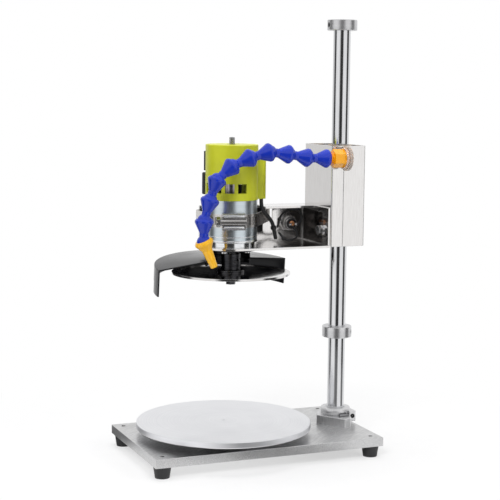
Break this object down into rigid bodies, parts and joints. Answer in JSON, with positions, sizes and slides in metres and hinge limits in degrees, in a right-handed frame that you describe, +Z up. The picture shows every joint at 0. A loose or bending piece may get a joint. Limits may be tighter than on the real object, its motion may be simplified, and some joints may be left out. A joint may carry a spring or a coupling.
{
  "type": "wet grinding sharpener",
  "caption": "Bench-top wet grinder: motor-driven flat disc under a guard on a post-mounted arm, with jointed coolant hose, over a hand-turned round table.",
  "frame": {"origin": "on the bench, under the middle of the base plate", "axes": "+Z up; +X along the base plate from the turntable towards the post; +Y to the back"},
  "size_m": [0.273, 0.2, 0.496],
  "materials": {
    "plate_metal": "brushed",
    "turned_aluminium": "turned",
    "chrome_post": "polished",
    "collar_steel": "satin",
    "foot_rubber": "matte",
    "screw_steel": "plain",
    "black_steel": "black oxide",
    "bronze": "plain",
    "stainless_sheet": "polished sheet",
    "block_aluminium": "milled",
    "knob_plastic": "moulded",
    "zinc_can": "zinc plated",
    "lime_plastic": "moulded",
    "magnet_ferrite": "sintered",
    "copper_winding": "varnished",
    "carbon": "plain",
    "strap_steel": "bright",
    "cradle_rubber": "matte",
    "disc_metal": "polished",
    "guard_black": "gloss black",
    "lead_black": "pvc",
    "hose_blue": "moulded",
    "nozzle_amber": "moulded",
    "fitting_orange": "moulded",
    "clear_seal": "clear",
    "fan_plastic": "moulded"
  },
  "bodies": {
    "base": {"base_plate": "plate_metal", "rubber_feet": "foot_rubber", "foot_screws": "screw_steel", "pivot_stud": "screw_steel", "thrust_washer": "bronze", "column_rod": "chrome_post", "column_flange": "collar_steel", "flange_screws": "screw_steel", "clamp_screws": "black_steel", "top_collar": "collar_steel"},
    "table": {"turntable": "turned_aluminium", "turntable_hub": "block_aluminium"},
    "stop": {"stop_collar": "collar_steel", "stop_collar_screw": "black_steel"},
    "lift": {"guide_bushings": "bronze"},
    "head": {"bearing_block": "block_aluminium", "carriage_left_shell": "stainless_sheet", "carriage_right_shell": "stainless_sheet", "shell_screws": "screw_steel", "arm_bracket": "stainless_sheet", "arm_bolts": "screw_steel", "arm_washers": "screw_steel", "motor_end_bell": "zinc_can", "motor_can": "zinc_can", "field_magnets": "magnet_ferrite", "motor_bearings": "screw_steel", "motor_cover": "lime_plastic", "carbon_brushes": "carbon", "motor_screws": "screw_steel", "clamp_band": "strap_steel", "clamp_housing": "strap_steel", "clamp_worm_screw": "strap_steel", "rubber_cradle": "cradle_rubber", "grinder_guard": "guard_black", "dc_socket": "screw_steel", "socket_nut": "screw_steel", "motor_lead": "lead_black", "lead_wires": "lead_black", "cable_tie": "lead_black", "hose_fitting": "fitting_orange", "sealing_washer": "clear_seal"},
    "knob": {"lock_knob": "knob_plastic"},
    "spindle": {"spindle_shaft": "screw_steel", "armature_core": "copper_winding", "commutator": "copper_winding", "cooling_fan": "fan_plastic", "arbor_adapter": "black_steel", "disc_flange": "black_steel", "grinding_disc": "disc_metal", "disc_bolt": "black_steel"},
    "hose_1": {"hose_segment_1": "hose_blue"},
    "hose_2": {"hose_segment_2": "hose_blue"},
    "hose_3": {"hose_segment_3": "hose_blue"},
    "hose_4": {"hose_segment_4": "hose_blue"},
    "hose_5": {"hose_segment_5": "hose_blue"},
    "hose_6": {"hose_segment_6": "hose_blue"},
    "hose_7": {"hose_segment_7": "hose_blue"},
    "hose_8": {"hose_segment_8": "hose_blue"},
    "hose_9": {"hose_segment_9": "hose_blue"},
    "nozzle": {"hose_nozzle": "nozzle_amber"}
  },
  "joints": [
    {"name": "table_spin", "type": "hinge", "parent": "base", "child": "table", "pos_m": [-0.0275, 0, 0.0346], "axis": [0, 0, 1], "continuous": true},
    {"name": "stop_slide", "type": "slide", "parent": "base", "child": "stop", "axis": [0, 0, 1], "range_m": [-0.084, 0.097]},
    {"name": "lift_slide", "type": "slide", "parent": "base", "child": "lift", "axis": [0, 0, 1], "range_m": [-0.097, 0.13]},
    {"name": "head_swing", "type": "hinge", "parent": "lift", "child": "head", "pos_m": [0.117, 0.004, 0.295], "axis": [0, 0, 1], "range_deg": [-90, 90]},
    {"name": "knob_turn", "type": "hinge", "parent": "head", "child": "knob", "pos_m": [0.117, 0.055, 0.295], "axis": [0, 1, 0], "range_deg": [0, 270]},
    {"name": "spindle_spin", "type": "hinge", "parent": "head", "child": "spindle", "pos_m": [-0.0185, 0.004, 0.25], "axis": [0, 0, 1], "continuous": true},
    {"name": "hose_1_bend", "type": "hinge", "parent": "head", "child": "hose_1", "pos_m": [0.0762, -0.045, 0.3395], "axis": [0.0436, 0, 0.999], "range_deg": [0, 12]},
    {"name": "hose_2_bend", "type": "hinge", "parent": "hose_1", "child": "hose_2", "pos_m": [0.05292, -0.045, 0.34052], "axis": [0.1736, 0, 0.9848], "range_deg": [0, 12]},
    {"name": "hose_3_bend", "type": "hinge", "parent": "hose_2", "child": "hose_3", "pos_m": [0.02998, -0.045, 0.34456], "axis": [0.108, 0, 0.9942], "range_deg": [0, 12]},
    {"name": "hose_4_bend", "type": "hinge", "parent": "hose_3", "child": "hose_4", "pos_m": [0.00681, -0.045, 0.34708], "axis": [-0.2487, 0, 0.9686], "range_deg": [0, 12]},
    {"name": "hose_5_bend", "type": "hinge", "parent": "hose_4", "child": "hose_5", "pos_m": [-0.01576, -0.045, 0.34128], "axis": [-0.3859, 0, 0.9225], "range_deg": [0, 12]},
    {"name": "hose_6_bend", "type": "hinge", "parent": "hose_5", "child": "hose_6", "pos_m": [-0.03725, -0.045, 0.33229], "axis": [-0.6414, 0, 0.7672], "range_deg": [0, 12]},
    {"name": "hose_7_bend", "type": "hinge", "parent": "hose_6", "child": "hose_7", "pos_m": [-0.05513, -0.045, 0.31735], "axis": [-0.9379, 0, 0.3469], "range_deg": [0, 12]},
    {"name": "hose_8_bend", "type": "hinge", "parent": "hose_7", "child": "hose_8", "pos_m": [-0.06321, -0.045, 0.29549], "axis": [-0.9613, 0, 0.2756], "range_deg": [0, 12]},
    {"name": "hose_9_bend", "type": "hinge", "parent": "hose_8", "child": "hose_9", "pos_m": [-0.06963, -0.045, 0.2731], "axis": [-1, 0, 0.0087], "range_deg": [0, 12]},
    {"name": "nozzle_bend", "type": "hinge", "parent": "hose_9", "child": "nozzle", "pos_m": [-0.06983, -0.045, 0.2498], "axis": [-0.9143, 0, -0.4051], "range_deg": [0, 12]}
  ]
}
